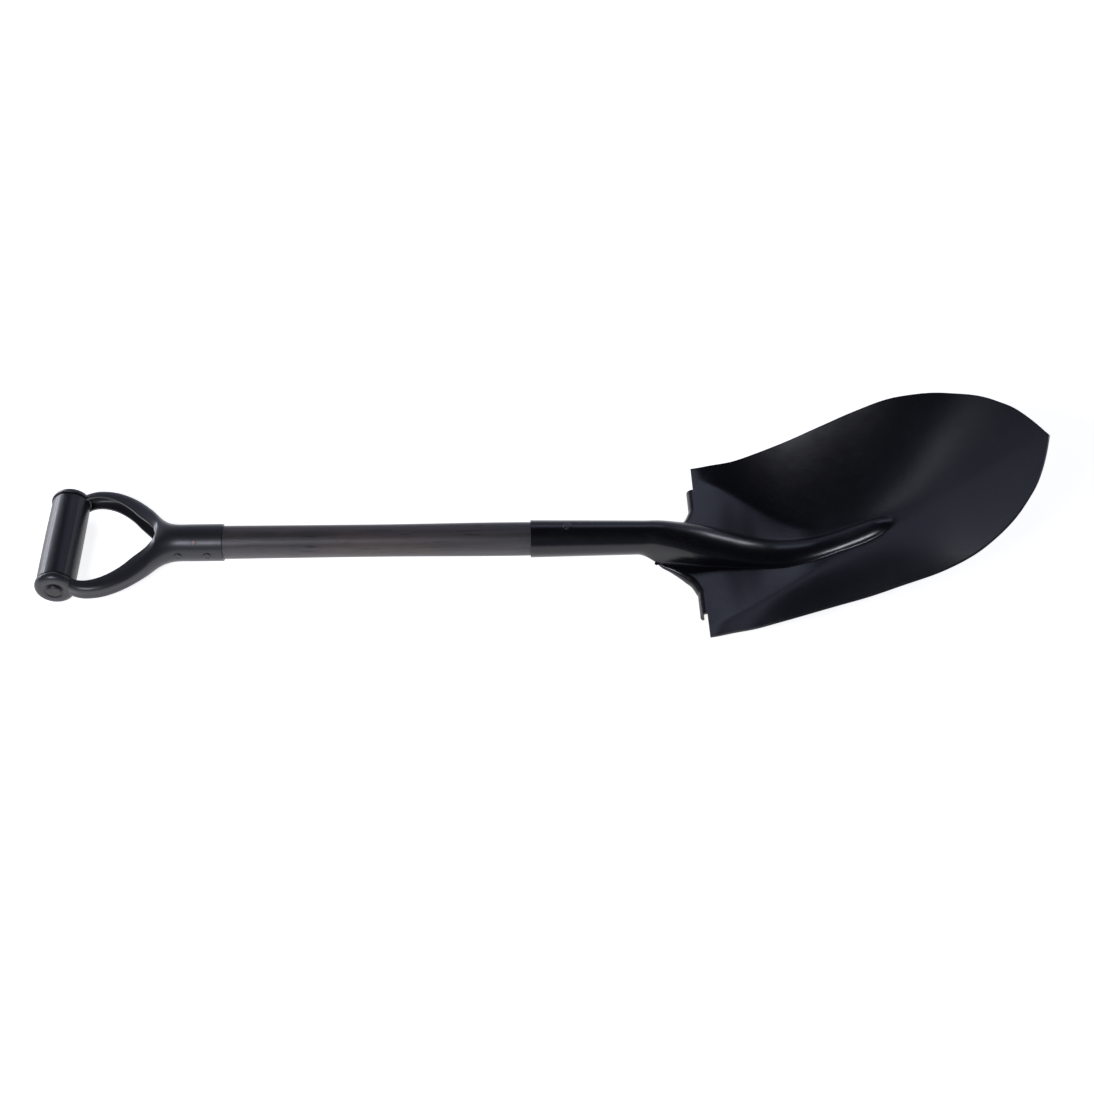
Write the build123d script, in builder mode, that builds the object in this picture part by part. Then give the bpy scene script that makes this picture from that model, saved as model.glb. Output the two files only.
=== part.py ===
from build123d import *
import math
import os

# Round point shovel with a steel yoke and D grip, lying on its back with the blade's hollow side up.
# The pieces are drawn about the shaft: X runs along the shaft's axis towards the blade's tip,
# Y is the width and Z stands away from the hollow side.  At the end the whole shovel is tilted by
# about a degree, so that the two steps and the two grip cups touch the floor at Z = 0.

# ---- driving dimensions, mm ----
sheet = 2.0                  # blade steel
tip_x = 432.7                # blade tip, measured along the shaft
rear_x = 141.0               # rear edge of the pan
rear_level = -18.0           # flat rear of the pan, below the shaft's axis
rear_half = 103.3            # half the width at the rear corners
pan_side = 118.0             # half-width of the uncut pan sheet

step_roll = 5.0              # radius of the rolled step, at the middle of the sheet
step_inner = 40.0            # the step starts here, out from the middle
step_outer = 76.0            # and ends here
step_turn = 60.0             # how far the roll goes past straight down, degrees

socket_mouth = -15.0         # open end of the socket
socket_mouth_r = 16.9
socket_end = 95.0            # where the rolled socket opens into the frog
socket_end_r = 15.3
socket_wall = 1.6
socket_seam = 1.2            # gap where the rolled edges meet, at the back
shaft_tail = 104.0           # end of the shaft inside the socket
shaft_r = 15.0
shaft_waist = 14.7
shaft_swell = 15.3

sleeve_end = -292.5          # yoke sleeve around the shaft's head
sleeve_wall = 1.8
shaft_head = -337.0          # the sleeve opens into the yoke's neck here

grip_x = -436.0              # axis of the grip, across the shovel
cup_r = 18.0                 # cups at the arms' ends
cup_wall = 1.7
cup_face = 55.6              # outer face of a cup, out from the middle
cup_rim = 49.0               # its open rim
cup_dimple = 1.4             # depth of the dish for the rod's head
grip_r = 17.3
grip_end_r = 16.0            # the grip's ends inside the cups
grip_end = 52.0
grip_shoulder = 48.4
rod_r = 3.5
rod_play = 0.05              # running clearance of the grip on its rod
head_r = 6.5
head_h = 2.6

arm_half_w = 5.0             # arm channel: half its thickness, half its height, its wall
arm_half_h = 8.5
arm_wall = 1.9
yoke_wall = sleeve_wall

rivet_r = 2.2
rivet_head_r = 3.9
rivet_head_h = 1.3
yoke_rivet_x = (-332.0, -305.6)
yoke_pin_x = -317.0
pin_r = 2.3
pin_turn = 42.0              # the pin is driven in between the front and one side, degrees
pin_depth = 16.0
socket_rivet_x = 18.0

sleeve_r = shaft_r + sleeve_wall
sleeve_seat = sleeve_r - 0.5       # the heads sit a little into the round sleeve and socket
socket_seat = 16.0

# Pan: at each station the floor's level, and how fast it curves up to the sides (1/mm).
pan_stations = [
    (socket_end, rear_level, 0.0),
    (115.0, rear_level, 0.0),
    (141.0, rear_level, 0.00003),
    (160.0, -19.8, 0.0007),
    (180.0, -22.8, 0.0015),
    (200.0, -25.4, 0.0026),
    (222.0, -25.6, 0.0036),
    (245.0, -19.8, 0.0041),
    (270.0, -8.0, 0.00412),
    (300.0, 9.0, 0.0041),
    (335.0, 35.0, 0.0035),
    (375.0, 72.0, 0.0026),
    (410.0, 104.6, 0.0024),
    (446.0, 138.1, 0.0024),
]

# Frog: at each station the middle, half-width and half-height of the oval arch that is pressed up
# out of the pan.  Its first arch is the front half of the socket's end.
frog_stations = [
    (socket_end, 0.0, socket_end_r, socket_end_r),
    (108.0, -1.5, 15.9, 15.0),
    (122.0, -4.5, 17.2, 14.6),
    (141.0, -10.0, 19.4, 14.6),
    (165.0, -17.5, 19.0, 13.5),
    (188.0, -23.5, 18.0, 11.5),
    (210.0, -27.5, 16.6, 11.2),
    (235.0, -25.0, 14.4, 10.3),
    (263.0, -14.0, 12.8, 9.4),
    (288.0, -0.8, 12.0, 8.9),
    (304.0, 6.5, 10.4, 8.2),
    (318.0, 11.0, 7.0, 6.0),
]


def pan_slope(index):
    """Slope of the pan's floor along the shaft at one station."""
    low = max(index - 1, 0)
    high = min(index + 1, len(pan_stations) - 1)
    rise = pan_stations[high][1] - pan_stations[low][1]
    return rise / (pan_stations[high][0] - pan_stations[low][0])


def sheet_height(slope_along, slope_across):
    """Half the sheet's thickness, measured straight up through a sloping sheet."""
    return 0.5 * sheet * math.sqrt(1 + slope_along**2 + slope_across**2)


# ---- fasteners first, because each one cuts its own seat in the pieces that it holds ----

# Domed rivet through the socket and the shaft, front to back.
with BuildPart() as socket_rivet:
    with Locations((socket_rivet_x, 0, 0)):
        Cylinder(rivet_r, 2 * socket_seat)
    with Locations((socket_rivet_x, 0, socket_seat)):
        Cylinder(rivet_head_r, rivet_head_h, align=(Align.CENTER, Align.CENTER, Align.MIN))
    fillet(socket_rivet.edges().sort_by(Axis.Z)[-1], rivet_head_h - 0.1)
    split(bisect_by=Plane.XY)
    mirror(about=Plane.XY)

socket_rivet.part.label = "socket_rivet"

# Two low rivets through the yoke's sleeve and the shaft, from side to side.
with BuildPart() as yoke_rivets:
    with Locations([(x, 0, 0) for x in yoke_rivet_x]):
        Cylinder(rivet_r, 2 * sleeve_seat, rotation=(-90, 0, 0))
    with Locations([(x, sleeve_seat, 0) for x in yoke_rivet_x]):
        Cylinder(
            rivet_head_r,
            rivet_head_h,
            rotation=(-90, 0, 0),
            align=(Align.CENTER, Align.CENTER, Align.MIN),
        )
    fillet(yoke_rivets.edges().group_by(Axis.Y)[-1], rivet_head_h - 0.1)
    split(bisect_by=Plane.XZ, keep=Keep.BOTTOM)
    mirror(about=Plane.XZ)

yoke_rivets.part.label = "yoke_rivets"

# Pin driven into the shaft through the sleeve.
with BuildPart() as yoke_pin:
    with Locations((yoke_pin_x, 0, sleeve_r + 0.3)):
        Cylinder(pin_r, pin_depth, align=(Align.CENTER, Align.CENTER, Align.MAX))
    fillet(yoke_pin.edges().sort_by(Axis.Z)[-1], 0.5)
    chamfer(yoke_pin.edges().sort_by(Axis.Z)[0], 1.2)
    yoke_pin.part = yoke_pin.part.rotate(Axis.X, pin_turn)

yoke_pin.part.label = "yoke_pin"

# ---- blade: pan, frog, neck, steps and rolled socket, pressed from one sheet ----

with BuildPart() as pan_sheet:
    for index, (x, floor, curve) in enumerate(pan_stations):
        rise = curve * pan_side**2
        half_mid = sheet_height(pan_slope(index), 0.0)
        half_side = sheet_height(pan_slope(index), 2 * curve * pan_side)
        with BuildSketch(Plane.YZ.offset(x)):
            with BuildLine():
                upper = Bezier(
                    (-pan_side, floor + rise + half_side),
                    (0, floor - rise + 2 * half_mid - half_side),
                    (pan_side, floor + rise + half_side),
                )
                lower = Bezier(
                    (-pan_side, floor + rise - half_side),
                    (0, floor - rise - 2 * half_mid + half_side),
                    (pan_side, floor + rise - half_side),
                )
                Line(upper @ 1, lower @ 1)
                Line(upper @ 0, lower @ 0)
            make_face()
    loft()

# Everything under the pan, to open the frog's back.
with BuildPart() as under_pan:
    for index, (x, floor, curve) in enumerate(pan_stations):
        rise = curve * pan_side**2
        with BuildSketch(Plane.YZ.offset(x)):
            with BuildLine():
                upper = Bezier(
                    (-pan_side, floor + rise),
                    (0, floor - rise),
                    (pan_side, floor + rise),
                )
                Polyline(upper @ 1, (pan_side, -90), (-pan_side, -90), upper @ 0)
            make_face()
    loft()

with BuildPart() as frog_form:
    for x, middle, half_w, half_h in frog_stations:
        with BuildSketch(Plane.YZ.offset(x)):
            with BuildLine():
                arch = EllipticalCenterArc((0, middle), half_w, half_h, 0, arc_size=180)
                Polyline(arch @ 1, (-half_w, -60), (half_w, -60), arch @ 0)
            make_face()
    loft()

with BuildPart() as frog_hollow:
    for x, middle, half_w, half_h in frog_stations:
        with BuildSketch(Plane.YZ.offset(x)):
            with BuildLine():
                inner_w = half_w - socket_wall
                arch = EllipticalCenterArc((0, middle), inner_w, half_h - socket_wall, 0, arc_size=180)
                Polyline(arch @ 1, (-inner_w, -60), (inner_w, -60), arch @ 0)
            make_face()
    loft()

# Socket: a cone rolled round the shaft's end, with its seam at the back.
with BuildPart() as socket:
    with BuildSketch(Plane.XZ):
        with BuildLine():
            Polyline(
                (socket_mouth, socket_mouth_r - socket_wall),
                (socket_mouth, socket_mouth_r),
                (socket_end, socket_end_r),
                (socket_end, socket_end_r - socket_wall),
                close=True,
            )
        make_face()
    revolve(axis=Axis.X)
    with Locations((socket_mouth, 0, 0)):
        Box(
            300,
            socket_seam,
            60,
            align=(Align.CENTER, Align.CENTER, Align.MAX),
            mode=Mode.SUBTRACT,
        )

# Outline of the blade seen from above: neck, rear edge, sides and point.
with BuildPart() as outline_form:
    with BuildSketch(Plane.XY.offset(-60)):
        with BuildLine():
            neck = Spline(
                (socket_end - 5, 0),
                (socket_end - 3, 14.8),
                (105, 19.8),
                (120, 26.8),
                (130, 36.5),
                (rear_x - 0.5, 52),
                tangents=[(0, 1), (0.8, 0.6)],
            )
            Line(neck @ 1, (rear_x - 0.5, step_outer))
            Line((rear_x - 0.5, step_outer), (rear_x, rear_half))
            side = Spline(
                (rear_x, rear_half),
                (180, 102.6),
                (224, 104.3),
                (290, 108.9),
                (329, 107.3),
                (368, 92.9),
                (402.5, 63),
                (424.5, 25.5),
                (tip_x, 0),
                tangents=[(1, 0), (0.24, -1)],
            )
            mirror(about=Plane.XZ)
        make_face()
    extrude(amount=260)

with BuildPart() as blade:
    add(pan_sheet.part)
    add(frog_hollow.part, mode=Mode.SUBTRACT)
    add(outline_form.part, mode=Mode.INTERSECT)
    add(frog_form.part - frog_hollow.part - under_pan.part)
    add(socket.part)
    for side_sign in (-1, 1):
        step_plane = Plane.XZ.offset(-side_sign * step_inner)
        with BuildSketch(step_plane):
            with BuildLine():
                CenterArc((rear_x, rear_level - step_roll), step_roll, 90, 90 + step_turn)
                offset(amount=sheet / 2, side=Side.BOTH)
            make_face()
        extrude(amount=-side_sign * (step_outer - step_inner))
    add(socket_rivet.part, mode=Mode.SUBTRACT)

blade.part.label = "blade"

# ---- shaft: one length of round wood, tapered into the socket ----

with BuildPart() as shaft:
    with BuildSketch(Plane.XZ):
        with BuildLine():
            Line((shaft_head, 0), (shaft_head, shaft_r))
            Line((shaft_head, shaft_r), (sleeve_end, shaft_r))
            Spline(
                (sleeve_end, shaft_r),
                (-150, shaft_waist),
                (socket_mouth, shaft_swell),
                tangents=[(1, 0), (1, 0)],
            )
            Line((socket_mouth, shaft_swell), (socket_end, socket_end_r - socket_wall))
            Line((socket_end, socket_end_r - socket_wall), (shaft_tail, socket_end_r - 2 * socket_wall))
            Line((shaft_tail, socket_end_r - 2 * socket_wall), (shaft_tail, 0))
            Line((shaft_tail, 0), (shaft_head, 0))
        make_face()
    revolve(axis=Axis.X)
    add(socket_rivet.part, mode=Mode.SUBTRACT)
    add(yoke_rivets.part, mode=Mode.SUBTRACT)
    add(yoke_pin.part, mode=Mode.SUBTRACT)

shaft.part.label = "shaft"

# ---- yoke: one steel pressing, a sleeve that forks into two channel arms with a cup each ----

neck_stations = [
    (shaft_head, sleeve_r, sleeve_r),
    (-345.0, 21.0, 16.2),
    (-354.0, 28.5, 12.8),
    (-363.0, 38.5, 9.6),
]
arm_route = [
    (-358.5, 21.0),
    (-367.5, 33.0),
    (-378.5, 43.6),
    (-391.0, 51.2),
    (-403.0, 55.2),
    (-412.0, 55.6),
    (-420.0, 53.2),
    (grip_x + 10.0, 49.8),
]
grip_axis = Axis((grip_x, 0, 0), (0, 1, 0))

with BuildPart() as neck_hollow:
    for x, half_w, half_h in neck_stations:
        with BuildSketch(Plane.YZ.offset(x)):
            Ellipse(half_w - yoke_wall, half_h - yoke_wall)
    loft()

# Arms: channels open towards the hand.
with BuildPart() as arms:
    with BuildLine() as arm_line:
        Spline(arm_route, tangents=[(-0.6, 0.8), (-0.85, -0.52)])
    with BuildSketch(Plane(origin=arm_line.line @ 0, x_dir=(0.8, 0.6, 0), z_dir=arm_line.line % 0)):
        RectangleRounded(2 * arm_half_w, 2 * arm_half_h, 4.2)
        with Locations((-arm_wall - 1, 0)):
            RectangleRounded(
                2 * arm_half_w + 2, 2 * (arm_half_h - arm_wall), 2.6, mode=Mode.SUBTRACT
            )
    sweep(path=arm_line.line)
    with Locations((grip_x, 0, 0)):
        Cylinder(
            cup_r - cup_wall / 2,
            2 * cup_face - cup_wall,
            rotation=(90, 0, 0),
            mode=Mode.SUBTRACT,
        )
    mirror(about=Plane.XZ)

# Inside of the D, cut through the neck and the arms.
with BuildPart() as hand_space:
    with BuildSketch(Plane.XY.offset(-30)):
        with BuildLine():
            crotch = Spline(
                (-357.0, 0),
                (-360.5, 9.5),
                (-372.5, 27.5),
                (-386.0, 41.0),
                (-404.0, 49.3),
                (-420.0, 50.9),
                tangents=[(0, 1), (-1, 0.03)],
            )
            Line(crotch @ 1, (-420.0, 0))
            mirror(about=Plane.XZ)
        make_face()
    extrude(amount=60)

# Cup at the end of an arm: a short cap, dished where the rod's head sits.
with BuildPart() as cup:
    with BuildSketch(Plane.XY):
        with BuildLine():
            dish = cup_face - cup_dimple
            corner = 5.0
            Polyline(
                (grip_x + cup_r - corner, cup_face),
                (grip_x + head_r + 2.4, cup_face),
                (grip_x + head_r + 1.0, dish),
                (grip_x, dish),
                (grip_x, dish - cup_wall),
                (grip_x + head_r + 1.6, dish - cup_wall),
                (grip_x + head_r + 3.0, cup_face - cup_wall),
                (grip_x + cup_r - corner, cup_face - cup_wall),
            )
            CenterArc((grip_x + cup_r - corner, cup_face - corner), corner, 0, 90)
            CenterArc((grip_x + cup_r - corner, cup_face - corner), corner - cup_wall, 0, 90)
            Polyline(
                (grip_x + cup_r, cup_face - corner),
                (grip_x + cup_r, cup_rim),
                (grip_x + cup_r - cup_wall, cup_rim),
                (grip_x + cup_r - cup_wall, cup_face - corner),
            )
        make_face()
    revolve(axis=grip_axis)

with BuildPart() as yoke:
    for x, half_w, half_h in neck_stations:
        with BuildSketch(Plane.YZ.offset(x)):
            Ellipse(half_w, half_h)
    loft()
    add(hand_space.part, mode=Mode.SUBTRACT)
    add(neck_hollow.part, mode=Mode.SUBTRACT)
    with BuildSketch(Plane.YZ.offset(shaft_head)):
        Circle(sleeve_r)
        Circle(shaft_r, mode=Mode.SUBTRACT)
    extrude(amount=sleeve_end - shaft_head)
    add(arms.part)
    add(cup.part)
    add(mirror(cup.part, about=Plane.XZ, mode=Mode.PRIVATE))
    with Locations((grip_x, 0, 0)):
        Cylinder(rod_r, 3 * cup_face, rotation=(90, 0, 0), mode=Mode.SUBTRACT)
    add(yoke_rivets.part, mode=Mode.SUBTRACT)
    add(yoke_pin.part, mode=Mode.SUBTRACT)

yoke.part.label = "yoke"

# ---- grip: a moulded tube that turns on the rod between the cups ----

with BuildPart() as grip_tube:
    with BuildSketch(Plane.XY):
        with BuildLine():
            Polyline(
                (grip_x + rod_r + rod_play, 0),
                (grip_x + rod_r + rod_play, grip_end),
                (grip_x + grip_end_r - 1.5, grip_end),
                (grip_x + grip_end_r, grip_end - 1.5),
                (grip_x + grip_end_r, grip_shoulder),
                (grip_x + grip_r - 0.8, grip_shoulder),
                (grip_x + grip_r, grip_shoulder - 0.8),
                (grip_x + grip_r, 0),
                close=True,
            )
        make_face()
    revolve(axis=grip_axis)
    mirror(about=Plane.XZ)

grip_tube.part.label = "grip_tube"

# Steel rod through the cups and the grip, with a domed head formed at each end.
with BuildPart() as grip_rod:
    with Locations((grip_x, 0, 0)):
        Cylinder(rod_r, 2 * (cup_face - cup_dimple), rotation=(-90, 0, 0))
    with Locations((grip_x, cup_face - cup_dimple, 0)):
        Cylinder(
            head_r,
            head_h,
            rotation=(-90, 0, 0),
            align=(Align.CENTER, Align.CENTER, Align.MIN),
        )
    fillet(grip_rod.edges().group_by(Axis.Y)[-1], head_h - 0.1)
    split(bisect_by=Plane.XZ, keep=Keep.BOTTOM)
    mirror(about=Plane.XZ)

grip_rod.part.label = "grip_rod"

# ---- lay the shovel on the floor: steps and cups touch Z = 0, origin under the middle ----

step_low_x = rear_x - step_roll * math.cos(math.radians(step_turn))
step_low = rear_level - step_roll * (1 + math.sin(math.radians(step_turn))) - sheet / 2
tilt = math.atan((-cup_r - step_low) / (step_low_x - grip_x))
lift = cup_r / math.cos(tilt) - grip_x * math.tan(tilt)
back_x = grip_x * math.cos(tilt) - cup_r
front_x = tip_x * math.cos(tilt) - (tip_x - rear_x) * 0.43 * math.sin(tilt)

pieces = [blade, socket_rivet, shaft, yoke, yoke_rivets, yoke_pin, grip_tube, grip_rod]
os.makedirs("parts", exist_ok=True)
for piece in pieces:
    label = piece.part.label
    lying = piece.part.rotate(Axis.Y, -math.degrees(tilt))
    piece.part = lying.moved(Location((-(back_x + front_x) / 2, 0, lift)))
    piece.part.label = label
    export_step(piece.part, f"parts/{label}.step")
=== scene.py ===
"""Round point shovel: finished surfaces, materials, floor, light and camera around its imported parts."""

import math

import bmesh
import bpy
import numpy as np
from bpy.props import FloatProperty, FloatVectorProperty, PointerProperty
from mathutils import Matrix, Vector


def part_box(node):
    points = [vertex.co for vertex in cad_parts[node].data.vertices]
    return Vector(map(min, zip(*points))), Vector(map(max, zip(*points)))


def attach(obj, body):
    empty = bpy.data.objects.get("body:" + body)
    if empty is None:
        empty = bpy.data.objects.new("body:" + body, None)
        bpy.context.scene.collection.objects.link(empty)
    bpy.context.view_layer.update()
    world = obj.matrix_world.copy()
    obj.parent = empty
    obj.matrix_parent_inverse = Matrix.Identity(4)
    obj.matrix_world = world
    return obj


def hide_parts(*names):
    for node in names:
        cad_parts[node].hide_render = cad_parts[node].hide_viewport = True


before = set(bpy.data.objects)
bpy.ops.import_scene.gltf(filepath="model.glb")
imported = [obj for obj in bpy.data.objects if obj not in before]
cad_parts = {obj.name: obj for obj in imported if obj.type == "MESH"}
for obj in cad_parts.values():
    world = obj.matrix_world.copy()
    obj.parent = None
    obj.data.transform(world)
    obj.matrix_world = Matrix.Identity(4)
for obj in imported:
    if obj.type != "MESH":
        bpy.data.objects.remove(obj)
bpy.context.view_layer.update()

bl_info = {
    "name": "Round Point Shovel",
    "version": (1, 0, 0),
    "blender": (4, 5, 0),
    "location": "View3D > Sidebar > Shovel",
    "description": "Builds a round point shovel's blade, shaft, yoke and grip with their finishes",
    "category": "Object",
}

# ---- where the shovel lies ----
# Shapes are drawn in millimetres about the shaft's axis: X towards the blade's tip, Y across, Z out
# of the blade's hollow side.  The grip's rod and the socket's rivet both lie on that axis.

GRIP_X = -436.0
MM = 0.001


def middle_of(node):
    """Middle of a node's box, in metres."""
    low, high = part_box(node)
    return (np.array(low) + np.array(high)) / 2


ROD_MIDDLE = middle_of("grip_rod")
ALONG = middle_of("socket_rivet") - ROD_MIDDLE
SOCKET_RIVET_X = GRIP_X + np.linalg.norm(ALONG) / MM
ALONG = ALONG / np.linalg.norm(ALONG)
ACROSS = np.array([0.0, 1.0, 0.0])
OUTWARD = np.cross(ALONG, ACROSS)
AXES = np.stack([ALONG, ACROSS, OUTWARD])


def place(points):
    """Drawing points in millimetres, turned and moved to where the shovel lies, in metres."""
    shifted = np.asarray(points, float) - np.array([GRIP_X, 0.0, 0.0])
    return ROD_MIDDLE + MM * (shifted @ AXES)


# ---- sizes that follow the parts ----

REAR_X = 141.0
REAR_LEVEL = -18.0
REAR_HALF = 103.3
TIP_X = 432.7
STEP_ROLL = 5.0
STEP_OUTER = 76.0
STEP_FOLD = 50.0
STEP_TURN = 150.0
SOCKET_MOUTH = -15.0
SOCKET_END = 95.0
SOCKET_R = (16.9, 15.3)
SOCKET_WALL = 1.6
SEAM_ANGLE = 177.6

# Pan: station, floor level, how fast the floor curves up to the sides, and the half-width of the
# flatter floor between the two soft folds that run in from the rear corners.
PAN = np.array([
    (95.0, -18.0, 0.0, 90.0),
    (115.0, -18.0, 0.0, 90.0),
    (141.0, -18.0, 0.00003, 90.0),
    (160.0, -19.8, 0.0007, 81.0),
    (180.0, -22.8, 0.0015, 69.0),
    (200.0, -25.4, 0.0026, 55.0),
    (222.0, -25.6, 0.0036, 39.0),
    (245.0, -19.8, 0.0041, 26.0),
    (270.0, -8.0, 0.00412, 17.0),
    (300.0, 9.0, 0.0041, 10.0),
    (335.0, 35.0, 0.0035, 4.0),
    (375.0, 72.0, 0.0026, 0.0),
    (410.0, 104.6, 0.0024, 0.0),
    (446.0, 138.1, 0.0024, 0.0),
])
# How much of the side's height is gained outside the folds, rather than evenly from the middle, how
# sharply it starts there, and the least width that it is spread over.
FOLD_SHARE, FOLD_BEND, FOLD_LEAST = 0.6, 1.3, 12.0
# Frog: station, middle, half-width and half-height of its oval arch.
FROG = np.array([
    (95.0, 0.0, 15.3, 15.3),
    (108.0, -1.5, 15.9, 15.0),
    (122.0, -4.5, 17.2, 14.6),
    (141.0, -10.0, 19.4, 14.6),
    (165.0, -17.5, 19.0, 13.5),
    (188.0, -23.5, 18.0, 11.5),
    (210.0, -27.5, 16.6, 11.2),
    (235.0, -25.0, 14.4, 10.3),
    (263.0, -14.0, 12.8, 9.4),
    (288.0, -0.8, 12.4, 10.2),
    (302.0, 5.5, 11.4, 11.2),
    (311.0, 9.6, 9.6, 8.2),
    (318.0, 11.0, 7.4, 5.0),
    (340.0, 16.0, 5.0, 3.0),
])
# The frog's half-width is at most this share of the pan's; its foot is blended into the pan over a
# few millimetres, and its corners are rounded.
FROG_SHARE, FROG_FOOT, FROG_ROUND = 0.28, 4.0, 1.5
# Where the smoothing round the frog's end comes in and goes out: station and length.
FROG_FADE_IN, FROG_FADE_OUT = (280.0, 10.0), (335.0, 12.0)
# Half-width of the pan from its rear edge to its point.
SIDE = np.array([
    (141.0, 103.3),
    (180.0, 102.6),
    (224.0, 104.3),
    (290.0, 108.9),
    (329.0, 107.3),
    (368.0, 92.9),
    (402.5, 63.0),
    (418.0, 39.5),
    (428.0, 15.0),
    (432.7, 0.0),
])
# Where the socket unrolls into the neck, and where the rolled edge grows to its full radius:
# station and length.  The rolled edge itself starts at LIP_START.
UNROLL, LIP_GROWTH = (82.0, 26.0), (92.0, 44.0)
LIP_START = 98.0
# Fold line of the neck: half-width of the flat sheet before its edge rolls under.
NECK = np.array([
    (84.0, 14.5),
    (95.0, 16.4),
    (106.0, 18.6),
    (118.0, 23.0),
    (128.0, 29.5),
    (136.0, 38.0),
    (141.0, STEP_FOLD),
])


def through(stations, x, column=1):
    """Smooth curve through a few stations: between two of them, the cubic that takes its slope at
    each from the stations on either side."""
    xs, ys = stations[:, 0], stations[:, column]
    slopes = np.gradient(ys, xs)
    i = np.clip(np.searchsorted(xs, x) - 1, 0, len(xs) - 2)
    gap = xs[i + 1] - xs[i]
    t = np.clip((x - xs[i]) / gap, 0.0, 1.0)
    return (
        (1 + 2 * t) * (1 - t) ** 2 * ys[i]
        + t * (1 - t) ** 2 * gap * slopes[i]
        + t * t * (3 - 2 * t) * ys[i + 1]
        + t * t * (t - 1) * gap * slopes[i + 1]
    )


def ease(t):
    """0 below 0, 1 above 1, and a smooth rise between."""
    t = np.clip(t, 0.0, 1.0)
    return t * t * (3 - 2 * t)


# ---- meshes ----


def new_piece(name, points, faces, smooth=True):
    """A mesh object from points in drawing millimetres and a list of faces."""
    mesh = bpy.data.meshes.new(name)
    mesh.from_pydata(place(points).tolist(), [], faces.tolist())
    mesh.polygons.foreach_set("use_smooth", np.full(len(mesh.polygons), smooth))
    mesh.update()
    obj = bpy.data.objects.new(name, mesh)
    bpy.context.scene.collection.objects.link(obj)
    return obj


def grid_faces(rows, columns, wrap=False):
    """Quads of a grid of points whose index is row times columns plus column."""
    r = np.arange(rows - 1)[:, None]
    c = np.arange(columns if wrap else columns - 1)[None, :]
    n = (c + 1) % columns
    quads = np.stack(np.broadcast_arrays(r * columns + c, r * columns + n,
                                         (r + 1) * columns + n, (r + 1) * columns + c), -1)
    return quads.reshape(-1, 4)


def weld(obj, distance=2e-5):
    """Merges doubled points and turns the faces of a closed or open shell outwards."""
    work = bmesh.new()
    work.from_mesh(obj.data)
    bmesh.ops.remove_doubles(work, verts=work.verts, dist=distance)
    bmesh.ops.dissolve_degenerate(work, edges=work.edges, dist=distance / 4)
    bmesh.ops.recalc_face_normals(work, faces=work.faces)
    work.to_mesh(obj.data)
    work.free()


def lathe(name, outline, axis, middle=(0.0, 0.0, 0.0), turns=96, relief=0.0):
    """Solid of revolution: the outline is (distance along the axis, radius), carried round it.  The
    relief is added to the radius at each outline point and angle."""
    outline = np.asarray(outline, float)
    angle = np.linspace(0, 2 * np.pi, turns, endpoint=False)
    radius = outline[:, 1, None] + relief
    u, v, w = {"X": (1, 2, 0), "Y": (2, 0, 1), "Z": (0, 1, 2)}[axis]
    points = np.zeros((len(outline), turns, 3))
    points[..., u] = radius * np.cos(angle)
    points[..., v] = radius * np.sin(angle)
    points[..., w] = outline[:, 0, None]
    points += np.asarray(middle, float)
    obj = new_piece(name, points.reshape(-1, 3), grid_faces(len(outline), turns, wrap=True))
    weld(obj)
    return obj


# ---- blade ----

INNER, MIDDLE, STEP, SIDEWAYS = 26, 8, 8, 14


def uniform(points, count):
    """Each row of points spread evenly along its own length."""
    step = np.linalg.norm(np.diff(points, axis=1), axis=2)
    run = np.concatenate([np.zeros((len(points), 1)), np.cumsum(step, 1)], 1)
    share = np.linspace(0, 1, count)
    rows = [
        np.stack([np.interp(share * r[-1], r, p[:, k]) for k in range(2)], -1)
        for r, p in zip(run, points)
    ]
    return np.stack(rows)


def soften(points, radius):
    """Rounds each row's corners by a running mean over about the radius, mirrored at the crest and
    carried straight on at the other end."""
    step = np.linalg.norm(points[:, 1] - points[:, 0], axis=1).mean()
    reach = max(int(round(2.2 * radius / step)), 1)
    offsets = np.arange(-reach, reach + 1)
    weight = np.exp(-0.5 * (offsets * step / radius) ** 2)
    weight /= weight.sum()
    before = points[:, reach:0:-1] * np.array([-1.0, 1.0])
    end = points[:, -1:]
    after = 2 * end - points[:, -2:-reach - 2:-1]
    padded = np.concatenate([before, points, after], 1)
    count = points.shape[1]
    return sum(w * padded[:, k:k + count] for k, w in enumerate(weight))


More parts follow.
